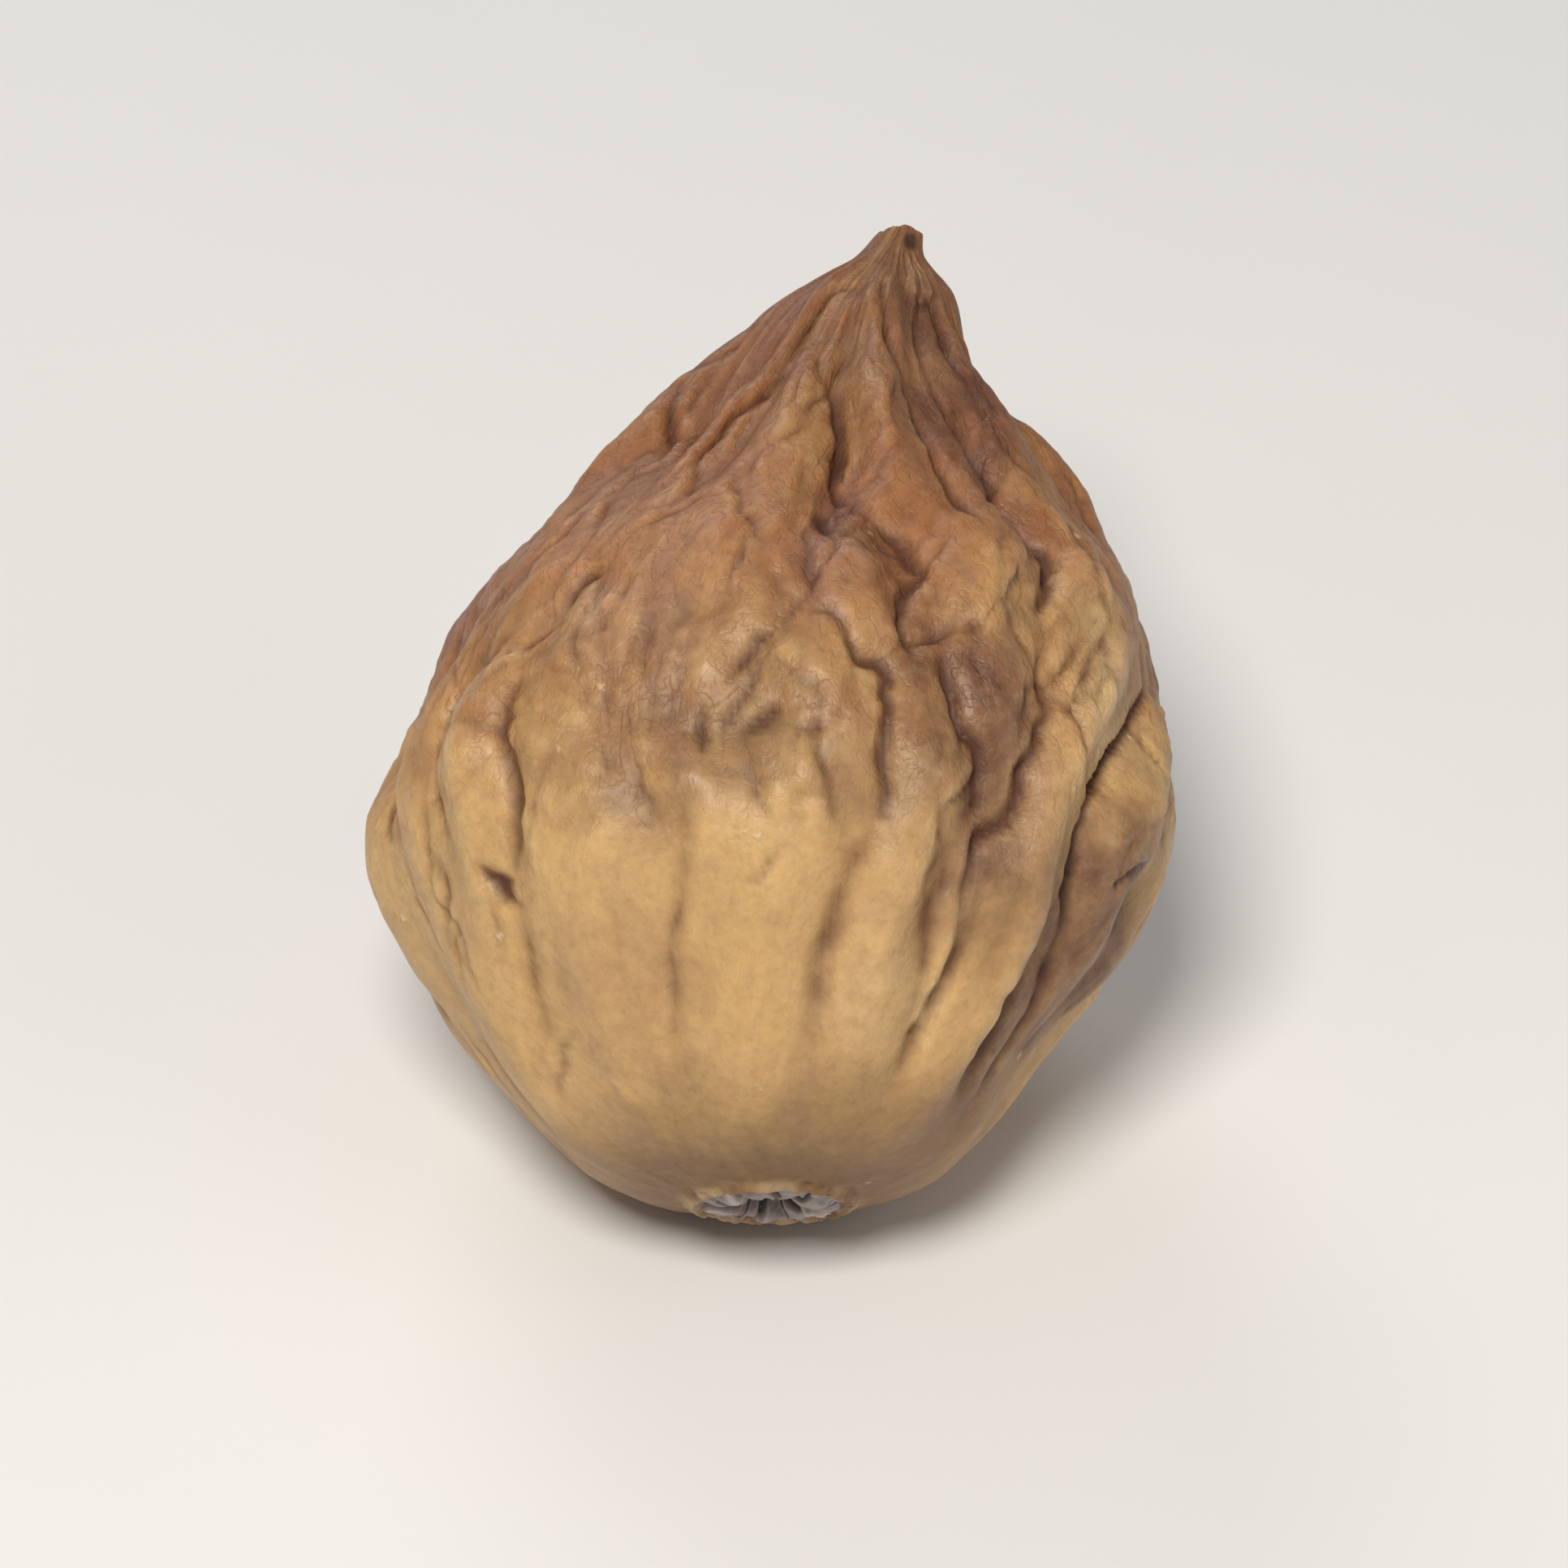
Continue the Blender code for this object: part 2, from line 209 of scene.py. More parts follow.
# How a crease is pressed in. Its reach and its lip are in widths of the crease.
creaseForm = {
    "wobble": 1.3,                    # how far it strays from its path
    "wobbleStep": 0.4,
    "reach": 5,
    "drawIn": (0.45, 2),              # how much the mesh is drawn in towards it, and how far out
    "slope": 1.2,
    "lip": (0.24, 2.2, 1.1),          # its raised lips: height, how far out, and half of their width
    "tilt": 0.7,                      # how much higher one lip is
    "taper": 0.6,
    "uneven": (0.38, 9),              # how much its depth varies, and how often
    "mark": 0.95,                     # half of the width of its dark bottom
}

# Creases of the same kinds on the sides and the back, drawn at random round the fruit
backNeck = {
    "turns": (92, 268, 8),            # first, last and step
    "stray": 3,
    "drift": 9,
    "top": (55, 80),
    "foot": (15, 45),
    "width": (0.16, 0.21),
    "depth": (0.18, 0.42),
    "dark": (0.4, 1.0),
}
backBelly = {
    "turns": (84, 280, 11),
    "stray": 4,
    "drift": 10,
    "top": (-5, 35),
    "drop": (20, 45),                 # from its top down to its foot
    "footStray": 6,
    "width": (0.17, 0.21),
    "depth": (0.16, 0.34),
    "dark": (0.3, 0.8),
}

smallWrinkles = {
    "count": 260,
    "width": (0.13, 0.19),
    "depth": (0.05, 0.15),
    "dark": (0.10, 0.45),
    "length": (7, 22),                # degrees of lift
    "height": (-0.75, 0.97),          # lowest and highest, from -1 at the eye to 1 at the stalk
    "highest": 86,
    "bow": 0.25,
    "slant": (0.35, 0.9),             # across for each degree up: on neck and belly, and on the shoulder
    "shoulder": (-10, 40),            # lifts of the shoulder
    "smoothBelly": (-9, 48, 0.12),    # below this lift and within this turn, this share of them
}

# Noises of the relief: how fine, how far it follows the swing, and its own offset. Where it has
# three numbers for how fine, the third is up the fruit.
reliefNoise = {
    "swing": (3, 0.0, 5.0),
    "gathers": ((7, 7, 1.6), 0.0, 3.0),
    "fineGathers": ((15, 15, 3), 0.0, 9.0),
    "lumps": ((6, 6, 3), 0.6, 20.0),
    "crests": ((7.5, 7.5, 4.5), 0.5, 27.0),
    "crumples": ((13, 13, 7.8), 0.4, 31.0),
    "grain": (20, 0.0, 44.0),
    "fineGrain": (34, 0.0, 51.0),
    "patches": (4, 0.0, 80.0),
}

# Stains, and patches of painted shade and painted highlight: turn, lift, half of its width and of its
# height, and how strong. Negative ones are pale.
stainsAndLight = {
    "dent": (-8, 0, 4.4, 2.5, 0.69),
    "dent foot left": (-20, -9, 3.2, 1.3, 0.28),
    "dent foot right": (9, -9, 2.6, 1.3, 0.32),
    "lip fold one": (-19, -12, 0.9, 1.9, 0.32),
    "lip fold two": (-2, -12, 0.8, 1.7, 0.20),
    "lip fold three": (11, -13, 0.7, 2.2, 0.28),
    "hook": (18, -4, 0.9, 3.6, 0.49),
    "shoulder mauve": (-4, 18, 1.4, 1.6, 0.28),
    "neck pit": (7, 39, 1.1, 1.2, 0.49),
    "neck left": (-52, 68, 1.6, 1.9, 0.32),
    "neck right": (40, 60, 1.8, 3.6, 1.40),
    "neck top": (-6, 70, 1.0, 1.6, 0.32),
    "neck front": (20, 80, 0.8, 1.4, 0.32),
    "under the stalk": (34, 76, 1.1, 1.9, 0.57),
    "shoulder fold": (17, 25, 1.4, 2.5, 0.49),
    "shoulder fold foot": (25, 12, 1.7, 3.2, 0.78),
    "shoulder right": (33, -3, 1.7, 3.2, 0.68),
    "low right": (35, -21, 1.7, 3.4, 0.77),
    "side right": (49, -14, 1.5, 3.4, 0.60),
    # Partly brown skin, partly painted shade low on the far right
    "far right": (66, -19, 2.6, 3.2, 0.95),
    "low far right": (72, -30, 3.6, 3.8, 1.30),
    "far right foot": (66, -46, 2.4, 2.6, 0.65),
    "foot middle": (36, -56, 2.6, 2.6, 0.16),
    "foot right": (52, -60, 3.0, 2.2, 0.41),
    # Partly pale skin, partly a painted highlight on the ridges of the right side
    "pale side": (54, 14, 1.9, 3.8, -0.65),
    "pale side low": (57, 6, 1.4, 2.4, -0.60),
    "pale shoulder": (-27, 17, 3.6, 1.5, -0.40),
    "pale spot": (28, -9, 0.7, 0.9, -0.60),
    # Painted highlights on the ribs low on the right
    "pale ribs": (22, -40, 2.6, 3.0, -0.45),
    "pale rib right": (47, -38, 0.8, 3.2, -0.70),
    "pale rib middle": (32, -44, 0.6, 2.6, -0.60),
    "pale knob": (47, -7, 0.8, 1.2, -0.50),
    "pale left": (-72, -10, 2.0, 3.0, -0.25),
    "pale ridge": (38, 22, 0.9, 2.4, -0.30),
    "pale neck": (24, 50, 1.6, 2.0, -0.22),
    "pale lip": (-10, -20, 5.0, 1.6, -0.25),
    "pale dent": (-17, -5, 0.6, 0.7, -0.70),
}

# What the skin's marks are read from
marks = {
    "closePasses": 5,                 # smoothing that tells a thin fold
    "widePasses": 40,                 # and a broad one
    # The hollow mark is painted as shade down in the folds, the crest mark as a highlight on top of them
    "hollow": (8, 2.4),               # how strongly thin and broad folds show, from their depth
    "crest": (-9, -2.4),
    # The borders of the stains here are also those of the painted shade and highlight patches
    "patchStray": 1.2,                # how far the stains' borders wander, and how finely
    "patchFine": 0.30,
    "girth": 12,                      # radius of the belly, on which the stains are laid out
    "patchDepth": 60,                 # how far in and out from the belly a stain reaches
}


def fineCopy():
    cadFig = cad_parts["fig"]
    body = bpy.data.objects.new("figSkin", cadFig.data.copy())
    bpy.context.scene.collection.objects.link(body)
    makeActive(body)
    bpy.ops.mesh.customdata_custom_splitnormals_clear()
    bpy.ops.object.mode_set(mode="EDIT")
    bpy.ops.mesh.select_all(action="SELECT")
    bpy.ops.mesh.remove_doubles(threshold=skin["mergeWithin"] * mm)
    flatter = math.radians(skin["quadAngle"])
    bpy.ops.mesh.tris_convert_to_quads(face_threshold=flatter, shape_threshold=flatter)
    bpy.ops.object.mode_set(mode="OBJECT")
    smoother = body.modifiers.new("finer", "SUBSURF")
    smoother.levels = skin["smoothing"]
    smoother.render_levels = skin["smoothing"]
    bpy.ops.object.modifier_apply(modifier=smoother.name)
    bpy.ops.object.shade_smooth()
    return body


def meshEdges(mesh):
    flat = np.empty(len(mesh.edges) * 2, np.int32)
    mesh.edges.foreach_get("vertices", flat)
    return flat.reshape(-1, 2)


def relaxed(values, edges, times):
    # Each point's values moved halfway to the mean of its neighbours', several times over
    count = len(values)
    ties = np.bincount(edges.ravel(), minlength=count)[:, None]
    for _ in range(times):
        sums = [np.bincount(edges[:, 0], values[edges[:, 1], axis], count)
                + np.bincount(edges[:, 1], values[edges[:, 0], axis], count)
                for axis in range(values.shape[1])]
        values = 0.5 * values + 0.5 * np.stack(sums, -1) / ties
    return values


def noiseAt(places, offset=0.0):
    return np.array([noise.noise(Vector(place)) for place in places + offset])


def noises(places, *offsets):
    return np.column_stack([noiseAt(places, offset) for offset in offsets])


def cellEdges(places):
    # 0 on the borders between scattered cells, rising towards the middle of each cell
    found = [noise.voronoi(Vector(place))[0] for place in places]
    return np.array([second - first for first, second, *_ in found])


def smoothPath(places, steps=6):
    # A smooth line through the places, with so many steps from each to the next
    places = np.array([places[0]] + list(places) + [places[-1]], float)
    line = []
    for before, start, end, after in zip(places, places[1:], places[2:], places[3:]):
        for share in np.linspace(0, 1, steps, endpoint=False):
            line.append(0.5 * (2 * start + (end - before) * share
                               + (2 * before - 5 * start + 4 * end - after) * share**2
                               + (3 * start - before - 3 * end + after) * share**3))
    line.append(places[-1])
    return np.array(line)


class Surface:
    # The skin's points in the fruit's frame, and the relief, slide and darker tone that creases give them
    def __init__(self, mesh):
        self.places = toFruit(readPoints(mesh))
        self.normals = readPoints(mesh, "normal") @ tipBack()
        self.distance = np.linalg.norm(self.places, axis=1)
        self.outward = self.places / self.distance[:, None]
        self.relief = np.zeros(len(self.places))
        self.slide = np.zeros_like(self.places)
        self.stain = np.zeros(len(self.places))
        self.tree = kdtree.KDTree(len(self.places))
        for index, direction in enumerate(self.outward):
            self.tree.insert(direction, index)
        self.tree.balance()

    def onSkin(self, line):
        directions = globePlace(line[:, 0], line[:, 1])
        nearest = [self.tree.find(direction)[1] for direction in directions]
        return directions * self.distance[nearest][:, None]

    def besideLine(self, line, margin):
        # For the skin near a line: which points, the gap to each, its side, and how far along, 0 to 1
        centre = line.mean(0)
        span = np.linalg.norm(line - centre, axis=1).max() + margin
        near = np.nonzero(np.linalg.norm(self.places - centre, axis=1) < span)[0]
        start, run = line[:-1], np.diff(line, axis=0)
        length = np.linalg.norm(run, axis=1)
        points = self.places[near][:, None, :]
        share = np.clip(((points - start) * run).sum(-1) / length**2, 0, 1)
        gap = points - (start + share[..., None] * run)
        distance = np.linalg.norm(gap, axis=-1)
        pick = distance.argmin(1)
        rows = np.nonzero(distance.min(1) < margin)[0]
        near, pick = near[rows], pick[rows]
        gap, share = gap[rows, pick], share[rows, pick]
        normal = self.normals[near]
        gap -= normal * (gap * normal).sum(-1, keepdims=True)
        side = np.sign((np.cross(run[pick], gap) * normal).sum(-1))
        passed = np.concatenate(([0], np.cumsum(length)))
        return near, gap, side, (passed[pick] + share * length[pick]) / passed[-1]


def pressCrease(surface, crease, draw):
    width, depth, dark, path = crease
    phase = draw.uniform(0, 50)
    line = smoothPath(path)
    steps = creaseForm["wobbleStep"] * np.arange(len(line))
    stray = [noiseAt(np.column_stack((steps, 0 * steps + phase, 0 * steps + part)))
             for part in (0.5, 7.5)]
    line = surface.onSkin(line + creaseForm["wobble"] * np.column_stack(stray))
    near, gap, side, along = surface.besideLine(line, creaseForm["reach"] * width)
    distance = np.linalg.norm(gap, axis=1)

    # The mesh is drawn in towards the crease, so that its bottom has points enough
    strength, spreadOut = creaseForm["drawIn"]
    drawn = strength * np.exp(-(distance / (spreadOut * width)) ** 2)
    surface.slide[near] -= gap * drawn[:, None]
    distance = distance * (1 - drawn)

    change, often = creaseForm["uneven"]
    uneven = noiseAt(np.column_stack((often * along, 0 * along, 0 * along + phase)))
    ends = np.sin(math.pi * np.clip(along, 0.02, 0.98)) ** creaseForm["taper"]
    taper = ends * (1 + change * uneven)
    spread = distance / width
    if depth > 0:
        tilt = draw.choice((-1, 1)) * side
        lipHeight, lipOut, lipWidth = creaseForm["lip"]
        lip = lipHeight * np.exp(-((spread - lipOut) / lipWidth) ** 2) * (1 + creaseForm["tilt"] * tilt)
        surface.relief[near] += depth * taper * (lip - np.exp(-spread ** creaseForm["slope"]))
    else:
        surface.relief[near] -= depth * taper * np.exp(-spread ** 2)
    # Darker at the bottom of the crease
    mark = dark * np.clip(taper, 0, 1) * np.exp(-(spread / creaseForm["mark"]) ** 2)
    surface.stain[near] = np.maximum(surface.stain[near], mark)


def backCreases(draw):
    def pick(kind, *parts):
        return tuple(draw.uniform(*kind[part]) for part in parts)

    drawn = []
    for turn in range(*backNeck["turns"]):
        start = turn + draw.uniform(-backNeck["stray"], backNeck["stray"])
        drift = draw.uniform(-backNeck["drift"], backNeck["drift"])
        top, foot = pick(backNeck, "top", "foot")
        path = [(start, top), (start + 0.3 * drift, 0.6 * top + 0.4 * foot), (start + drift, foot)]
        drawn.append((*pick(backNeck, "width", "depth", "dark"), path))
    for turn in range(*backBelly["turns"]):
        start = turn + draw.uniform(-backBelly["stray"], backBelly["stray"])
        drift = draw.uniform(-backBelly["drift"], backBelly["drift"])
        top, drop = pick(backBelly, "top", "drop")
        foot = top - drop
        footTurn = start + draw.uniform(-backBelly["footStray"], backBelly["footStray"])
        path = [(start, top), (start + drift, 0.5 * (top + foot)), (footTurn, foot)]
        drawn.append((*pick(backBelly, "width", "depth", "dark"), path))
    return drawn


def fineWrinkles(draw):
    # Short wrinkles all over, most of them near to the way the fruit's ribs run
    small = smallWrinkles
    drawn = []
    lowLift, halfTurn, share = small["smoothBelly"]
    shoulderFoot, shoulderTop = small["shoulder"]
    steady, wild = small["slant"]
    for _ in range(small["count"]):
        turn = draw.uniform(-180, 180)
        lift = math.degrees(math.asin(draw.uniform(*small["height"])))
        sway = draw.gauss(0, steady if lift > shoulderTop or lift < shoulderFoot else wild)
        bow = draw.uniform(-small["bow"], small["bow"])
        reach = 0.5 * draw.uniform(*small["length"])
        width, depth, dark = (draw.uniform(*small[part]) for part in ("width", "depth", "dark"))
        if lift < lowLift and abs(turn) < halfTurn and draw.random() > share:
            continue
        reach /= math.hypot(1, sway)
        across = reach * sway / max(0.2, math.cos(math.radians(lift)))
        path = [(turn - across, lift - reach), (turn + bow * reach, lift),
                (turn + across, min(lift + reach, small["highest"]))]
        drawn.append((width, depth, dark, path))
    return drawn


def wrinkle(surface):
    # Relief in millimetres that no single crease gives: gathers on the neck, crumples, grain and net
    out = surface.outward
    turn = np.arctan2(out[:, 0], -out[:, 1])
    lift = np.arcsin(np.clip(out[:, 2], -1, 1))
    fine, _, offset = reliefNoise["swing"]
    swing = noiseAt(fine * out, offset)
    turned = turn + skin["swing"] * swing
    around = np.column_stack((np.cos(turned), np.sin(turned), lift))

    def ridged(name, places):
        fine, follow, offset = reliefNoise[name]
        return np.abs(noiseAt(places * fine + follow * swing[:, None], offset))

    def layer(kind, level):
        depth, mean, onBelly = skin[kind]
        return depth * (level - mean), onBelly

    # Round lumps, and among them sharp crests as on crumpled paper
    gathers = ridged("gathers", around) + 0.5 * ridged("fineGathers", around)
    crumples = (ridged("lumps", around) + 0.8 * (0.5 - ridged("crests", out))
                + 0.55 * ridged("crumples", out))
    grain = ridged("grain", out) + 0.5 * ridged("fineGrain", out)
    onNeck = smoothStep(*skin["neckLift"], np.degrees(lift))
    onTop = smoothStep(*skin["topLift"], np.degrees(lift))
    gathers, low = layer("gathers", gathers)
    relief = gathers * atLeast(low, onNeck)
    crumples, low = layer("crumples", crumples)
    relief += crumples * atLeast(low, onTop) * (1 - 0.6 * onNeck)
    grain, low = layer("grain", grain)
    relief += grain * atLeast(low, onTop)

    # A net of fine wrinkles, patchy, with cells that are longer up and down than across
    warp = noises(skin["warp"] * out, 61.0, 67.0, 73.0)
    cells = cellEdges(around * skin["netFine"] + 0.6 * warp)
    fine, _, offset = reliefNoise["patches"]
    patchy = smoothStep(*skin["netPatches"], noiseAt(fine * out, offset))
    netDepth, low = skin["net"]
    net = (1 - smoothStep(*skin["netEdge"], cells)) * patchy * atLeast(low, onTop) * (1 - 0.5 * onNeck)
    surface.relief += relief - netDepth * net
    surface.net = net

    # Where the long wrinkles run: round the fruit and, drawn out to twice as long, up it
    surface.ribs = around * skin["ribsFine"] + 0.5 * warp


def addMark(mesh, name, values):
    mark = mesh.attributes.new(name, "FLOAT", "POINT")
    mark.data.foreach_set("value", np.clip(values, 0, 1).astype(np.float32))


def addPlaces(mesh, name, places):
    mark = mesh.attributes.new(name, "FLOAT_VECTOR", "POINT")
    mark.data.foreach_set("vector", places.astype(np.float32).ravel())


def stainAndLightAt(places, stain):
    turn, lift, halfWidth, halfHeight, strength = stain
    girth = marks["girth"]
    middle = girth * globePlace(turn, lift)
    across = globePlace(turn + 90, 0)
    up = np.cross(middle, across) / girth
    away = girth * places / np.linalg.norm(places, axis=1)[:, None] - middle
    return strength * np.exp(-((away @ across) / halfWidth) ** 2 - ((away @ up) / halfHeight) ** 2
                             - ((away @ middle) / marks["patchDepth"]) ** 2)


def markSkin(mesh, edges, surface):
    # Marks that the skin's colours follow
    points = readPoints(mesh)
    normals = readPoints(mesh, "normal")

    def depthUnder(passes):
        return ((relaxed(points, edges, passes) - points) * normals).sum(-1) / mm

    close, wide = depthUnder(marks["closePasses"]), depthUnder(marks["widePasses"])
    places = surface.places
    lift = np.degrees(np.arctan2(places[:, 2], np.hypot(places[:, 0], places[:, 1])))
    strayed = places + marks["patchStray"] * noises(marks["patchFine"] * places, 3.0, 8.0, 13.0)
    # Stains, with patches of painted shade and painted highlight, laid over the skin
    stainAndLight = sum(stainAndLightAt(strayed, stain) for stain in stainsAndLight.values())
    addMark(mesh, "rise", (lift + 90) / 180)
    for name in ("hollow", "crest"):
        closeShare, wideShare = marks[name]
        addMark(mesh, name, closeShare * close + wideShare * wide)
    addMark(mesh, "crease", surface.stain)
    addMark(mesh, "net", surface.net)
    addPlaces(mesh, "ribs", surface.ribs)
    addMark(mesh, "brown", stainAndLight)
    addMark(mesh, "pale", -stainAndLight)


# The eye: a low ring, and inside it grey scales that meet in a star of dark gaps.
# How far out something lies is in radii of the ring's crest.

eye = {
    "limit": 1.3,
    "scales": (0.84, 0.93),           # where the scales end
    "ring": (0.80, 0.92, 1.04, 1.28),  # where the ring starts, is whole, starts to end, and ends
    "gaps": 11,
    "gapStray": 0.33,                 # of the way to the next gap
    "gapBend": 16,
    "gapReach": (0.62, 1.12),         # how far out a gap runs
    "gapWidth": (0.075, 0.15),        # half of it, out at the ring and in at the middle
    "gapDepth": 0.34,
    "pit": 0.16,                      # radius of the dark middle
    "pitEdge": 0.12,
    "scaleStep": 0.16,                # how much higher one edge of a scale stands
    "scaleRelief": 0.10,
    "ringRough": 0.22,
    "seed": 23,
}


def shapeEye(mesh, surface):
    draw = random.Random(eye["seed"])
    places = surface.places
    out = np.hypot(places[:, 0], places[:, 1]) / fruit["eyeRadius"]
    turn = np.degrees(np.arctan2(places[:, 0], -places[:, 1]))
    inEye = (places[:, 2] < fruit["eyeTop"]) & (out < eye["limit"])
    onScales = inEye * (1 - smoothStep(*eye["scales"], out))
    ringStart, ringWhole, ringFalls, ringEnd = eye["ring"]
    onRing = inEye * smoothStep(ringStart, ringWhole, out) * (1 - smoothStep(ringFalls, ringEnd, out))

    # The gaps between scales: bent, wider towards the middle, some of them through the ring
    bend = eye["gapBend"] * noiseAt(np.column_stack((3 * out, 0 * out, turn / 70)), 90.0)
    far, near = eye["gapWidth"]
    width = near + (far - near) * np.clip(out, 0, 1)
    gap = np.zeros(len(places))
    step = np.zeros(len(places))
    count, stray = eye["gaps"], eye["gapStray"]
    corners = sorted((index + draw.uniform(-stray, stray)) * 360 / count for index in range(count))
    for corner, following in zip(corners, corners[1:] + [corners[0] + 360]):
        beside = (turn + bend - corner + 180) % 360 - 180
        reach = draw.uniform(*eye["gapReach"])
        apart = np.abs(np.radians(beside)) * np.maximum(out, 0.05) * fruit["eyeRadius"] / width
        line = (1 - smoothStep(0.6, 1.3, apart)) * (1 - smoothStep(reach - 0.12, reach + 0.08, out))
        gap = np.maximum(gap, line * (np.abs(beside) < 90))
        share = ((turn + bend - corner) % 360) / (following - corner)
        tilt = draw.uniform(0.5, 1.0) * (share - 0.5) + draw.uniform(-0.3, 0.3)
        step += np.where(share < 1, tilt, 0)
    pitEdge = eye["pitEdge"]
    pit = 1 - smoothStep(eye["pit"], eye["pit"] + pitEdge, out + pitEdge * noiseAt(1.3 * places, 93.0))
    gap = inEye * np.maximum(gap, pit)
    rough = noiseAt(1.6 * places, 90.0) + 0.6 * noiseAt(3.5 * places, 95.0)
    raised = ((eye["scaleStep"] * step + eye["scaleRelief"] * rough) * onScales * (1 - gap)
              - eye["gapDepth"] * gap * (1 - 0.4 * pit) - eye["ringRough"] * np.abs(rough) * onRing)
    writePoints(mesh, readPoints(mesh) - (raised * mm)[:, None] * tipBack()[:, 2])
    patchy = smoothStep(-0.35, 0.25, noiseAt(1.1 * places, 99.0))
    addMark(mesh, "scales", onScales)
    addMark(mesh, "scaleEdge", onScales * smoothStep(0.18, 0.42, step))
    # Where the gaps and the pit are painted near-black as shade
    addMark(mesh, "gap", gap)
    addMark(mesh, "ring", onRing * patchy)
    print("eye:", eye["gaps"], "gaps between scales")


# The stalk: a short torn stub with fibres down its side and a dark cut

stalk = {
    "foot": (-0.7, 0.1),              # where the stub sets in, from where the bare stalk starts
    "top": (-0.35, -0.1),             # where its cut sets in, from its end
    "fibres": 2.6,                    # how fine they are
    "fibreMean": 0.35,
    "fibreDepth": 0.07,
    "cutEdge": (0.45, 0.85),          # border of the dark cut, in radii of the stub
    "cutStray": 0.5,
    "cutDepth": 0.16,
    "cutRagged": 0.14,
    "tear": (38, 24, 17.95, 0.38),    # turn, half of its width, height up the axis, half of its height
    "tearDepth": 0.14,
}


def shapeStalk(mesh, surface):
    places = surface.places
    high = places[:, 2]
    footLow, footHigh = stalk["foot"]
    topLow, topHigh = stalk["top"]
    onStub = smoothStep(fruit["stubRise"] + footLow, fruit["stubRise"] + footHigh, high)
    onTop = smoothStep(fruit["rise"] + topLow, fruit["rise"] + topHigh, high)
    turn = np.arctan2(places[:, 0], -places[:, 1])
    fine = stalk["fibres"]
    fibres = np.abs(noiseAt(np.column_stack((fine * np.cos(turn), fine * np.sin(turn), 0.5 * high)), 12.0))
    out = np.hypot(places[:, 0], places[:, 1]) / fruit["stubRadius"]
    out += stalk["cutStray"] * noiseAt(2.5 * places, 33.0)
    inCut = onTop * (1 - smoothStep(*stalk["cutEdge"], out))
    ragged = 0.5 + noiseAt(3.5 * places, 37.0)
    tearTurn, halfWidth, tearHigh, halfHeight = stalk["tear"]
    tear = onStub * np.exp(-((np.degrees(turn) - tearTurn) / halfWidth) ** 2
                           - ((high - tearHigh) / halfHeight) ** 2)
    points = readPoints(mesh)
    normals = readPoints(mesh, "normal")
    side = stalk["fibreDepth"] * (fibres - stalk["fibreMean"]) * onStub * (1 - onTop)
    side -= stalk["tearDepth"] * tear
    top = -stalk["cutDepth"] * inCut - stalk["cutRagged"] * onTop * ragged
    writePoints(mesh, points + (side * mm)[:, None] * normals + (top * mm)[:, None] * tipBack()[:, 2])
    addMark(mesh, "cut", np.maximum(inCut, 0.9 * smoothStep(0.25, 0.75, tear)))
    print("stalk: fibres and cut")


def keepInBox(mesh):
    low, high = (np.array(corner) for corner in cadBox)
    writePoints(mesh, np.clip(readPoints(mesh), low, high))


def shapeSkin(mesh):
    edges = meshEdges(mesh)
    draw = random.Random(skin["seed"])

    # The eye, the flat spot and the stub keep clear of the skin's wrinkles
    points = readPoints(mesh)
    start = toFruit(points)
    radii = np.hypot(start[:, 0], start[:, 1]) / fruit["eyeRadius"]
    radii += 9 * (start[:, 2] > 0)    # the upper half counts as far from the eye
    offEye = smoothStep(*skin["offEye"], radii)
    offFlat = smoothStep(*skin["offFlat"], points[:, 2] / mm)
    stubLow, stubHigh = (fruit["stubRise"] + part for part in skin["offStub"])
    offStub = 1 - smoothStep(stubLow, stubHigh, start[:, 2])

    # Folds drawn tighter: what stands above the relaxed surface rises, what lies below it sinks
    normals = readPoints(mesh, "normal")
    standing = ((points - relaxed(points, edges, skin["sharpenPasses"])) * normals).sum(-1)
    writePoints(mesh, points + normals * (skin["sharpen"] * standing * offEye * offFlat)[:, None])

    surface = Surface(mesh)
    wrinkle(surface)
    for crease in list(creases.values()) + backCreases(draw) + fineWrinkles(draw):
        pressCrease(surface, crease, draw)
    free = offEye * offFlat * offStub
    slide = surface.slide * free[:, None]
    longest = np.maximum(np.linalg.norm(slide, axis=1), 0.001)    # never 0, which it divides by
    slide *= np.minimum(1, skin["slideLimit"] / longest)[:, None]
    points = readPoints(mesh)
    normals = readPoints(mesh, "normal")
    points += (slide * mm) @ tipBack().T + normals * (surface.relief * free * mm)[:, None]
    writePoints(mesh, points)
    surface.stain *= free
    surface.net *= free
    print("skin:", len(mesh.polygons), "faces")
    return edges, surface
